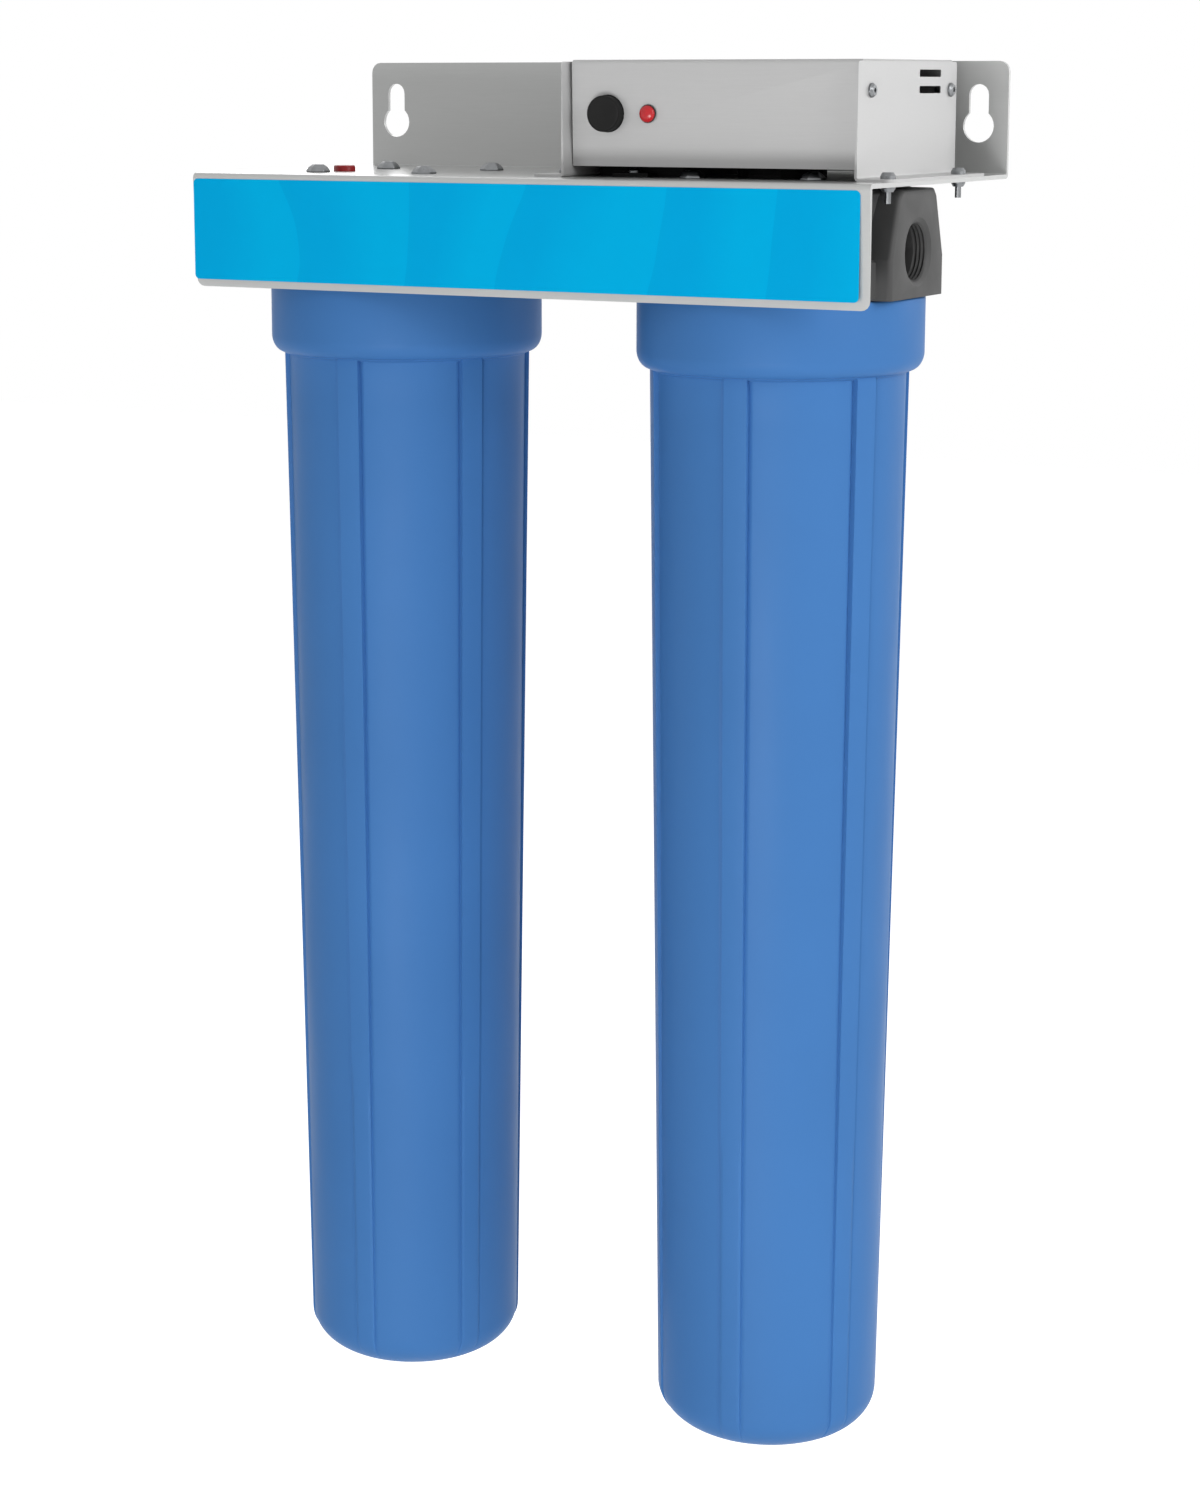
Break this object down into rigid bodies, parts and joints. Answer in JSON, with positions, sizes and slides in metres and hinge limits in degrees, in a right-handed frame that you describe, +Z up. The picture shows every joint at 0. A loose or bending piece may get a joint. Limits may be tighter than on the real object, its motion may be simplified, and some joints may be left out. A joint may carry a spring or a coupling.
{
  "type": "ultraviolet water purifier",
  "caption": "Wall-hung water purifier: bent steel bracket, ribbed sumps screwed under threaded heads, and a ballast box with a push button and signal lamp on top.",
  "frame": {"origin": "on the wall behind the bracket's rear flange, midway between the keyholes, level with the wall screws' bearing height", "axes": "+Y into the wall, +Z up, +X to the right of someone who faces the purifier"},
  "size_m": [0.345, 0.1608, 0.6451],
  "materials": {
    "bracket_steel": "satin sheet steel",
    "box_steel": "satin sheet steel",
    "screw_steel": "zinc plated",
    "label_film": "printed film",
    "head_plastic": "moulded, satin",
    "sump_plastic": "moulded, semi gloss",
    "black_plastic": "moulded",
    "grey_plastic": "moulded",
    "red_plastic": "moulded",
    "lens_plastic": "clear red",
    "seal_rubber": "moulded rubber",
    "filter_felt": "wound yarn",
    "stainless": "stainless",
    "quartz": "clear quartz",
    "lamp_glass": "lamp glass",
    "board_laminate": "circuit board"
  },
  "bodies": {
    "frame": {"mounting_bracket": "bracket_steel", "front_label": "label_film", "head_left": "head_plastic", "head_right": "head_plastic", "head_skirt_left": "head_plastic", "head_skirt_right": "head_plastic", "flow_ring": "head_plastic", "head_screw_left_front_left": "screw_steel", "head_screw_left_rear_left": "screw_steel", "head_screw_left_front_right": "screw_steel", "head_screw_left_rear_right": "screw_steel", "head_screw_right_front_left": "screw_steel", "head_screw_right_rear_left": "screw_steel", "head_screw_right_front_right": "screw_steel", "head_screw_right_rear_right": "screw_steel", "relief_spring": "stainless", "relief_seal": "seal_rubber", "connecting_nipple": "grey_plastic", "quartz_sleeve": "quartz", "sleeve_seal": "seal_rubber", "gland_nut": "black_plastic", "uv_lamp": "lamp_glass", "lamp_plug": "black_plastic", "lamp_lead": "seal_rubber", "ballast_end_left": "box_steel", "ballast_end_right": "box_steel", "ballast_cover": "box_steel", "cord_grommet": "seal_rubber", "cover_screw_left_front": "screw_steel", "cover_screw_left_rear": "screw_steel", "cover_screw_right_front": "screw_steel", "cover_screw_right_rear": "screw_steel", "foot_screw_left_front": "screw_steel", "foot_screw_left_rear": "screw_steel", "foot_screw_right_front": "screw_steel", "foot_screw_right_rear": "screw_steel", "foot_nut_left_front": "screw_steel", "foot_nut_left_rear": "screw_steel", "foot_nut_right_front": "screw_steel", "foot_nut_right_rear": "screw_steel", "ballast_module": "black_plastic", "ballast_screw_front": "screw_steel", "ballast_screw_rear": "screw_steel", "control_board": "board_laminate", "signal_lamp_lens": "lens_plastic", "signal_lamp_ring": "seal_rubber"},
    "left_seal_ring": {"sump_seal_left": "seal_rubber"},
    "left_sump": {"sump_left": "sump_plastic", "filter_cartridge": "filter_felt"},
    "right_seal_ring": {"sump_seal_right": "seal_rubber"},
    "right_sump": {"sump_right": "sump_plastic", "chamber_liner": "stainless"},
    "power_button": {"push_button": "black_plastic"},
    "pressure_relief": {"relief_button": "red_plastic"}
  },
  "joints": [
    {"name": "left_sump_drop", "type": "slide", "parent": "frame", "child": "left_seal_ring", "axis": [0, 0, -1], "range_m": [0, 0.0165]},
    {"name": "left_sump_turn", "type": "hinge", "parent": "left_seal_ring", "child": "left_sump", "pos_m": [-0.0981, -0.0907, -0.115], "axis": [0, 0, -1], "range_deg": [0, 1080]},
    {"name": "right_sump_drop", "type": "slide", "parent": "frame", "child": "right_seal_ring", "axis": [0, 0, -1], "range_m": [0, 0.0165]},
    {"name": "right_sump_turn", "type": "hinge", "parent": "right_seal_ring", "child": "right_sump", "pos_m": [0.0998, -0.0907, -0.115], "axis": [0, 0, -1], "range_deg": [0, 1080]},
    {"name": "power_button_press", "type": "slide", "parent": "frame", "child": "power_button", "axis": [0, 1, 0], "range_m": [0, 0.0012], "stiffness_N_per_m": 600, "springref_m": -0.003},
    {"name": "pressure_relief_press", "type": "slide", "parent": "frame", "child": "pressure_relief", "axis": [0, 0, -1], "range_m": [0, 0.002], "stiffness_N_per_m": 800, "springref_m": -0.003, "deforming": ["relief_spring"]}
  ],
  "couplings": [
    {"joint": "left_sump_drop", "follows": "left_sump_turn", "m_per_rad": 0.000875},
    {"joint": "right_sump_drop", "follows": "right_sump_turn", "m_per_rad": 0.000875}
  ]
}
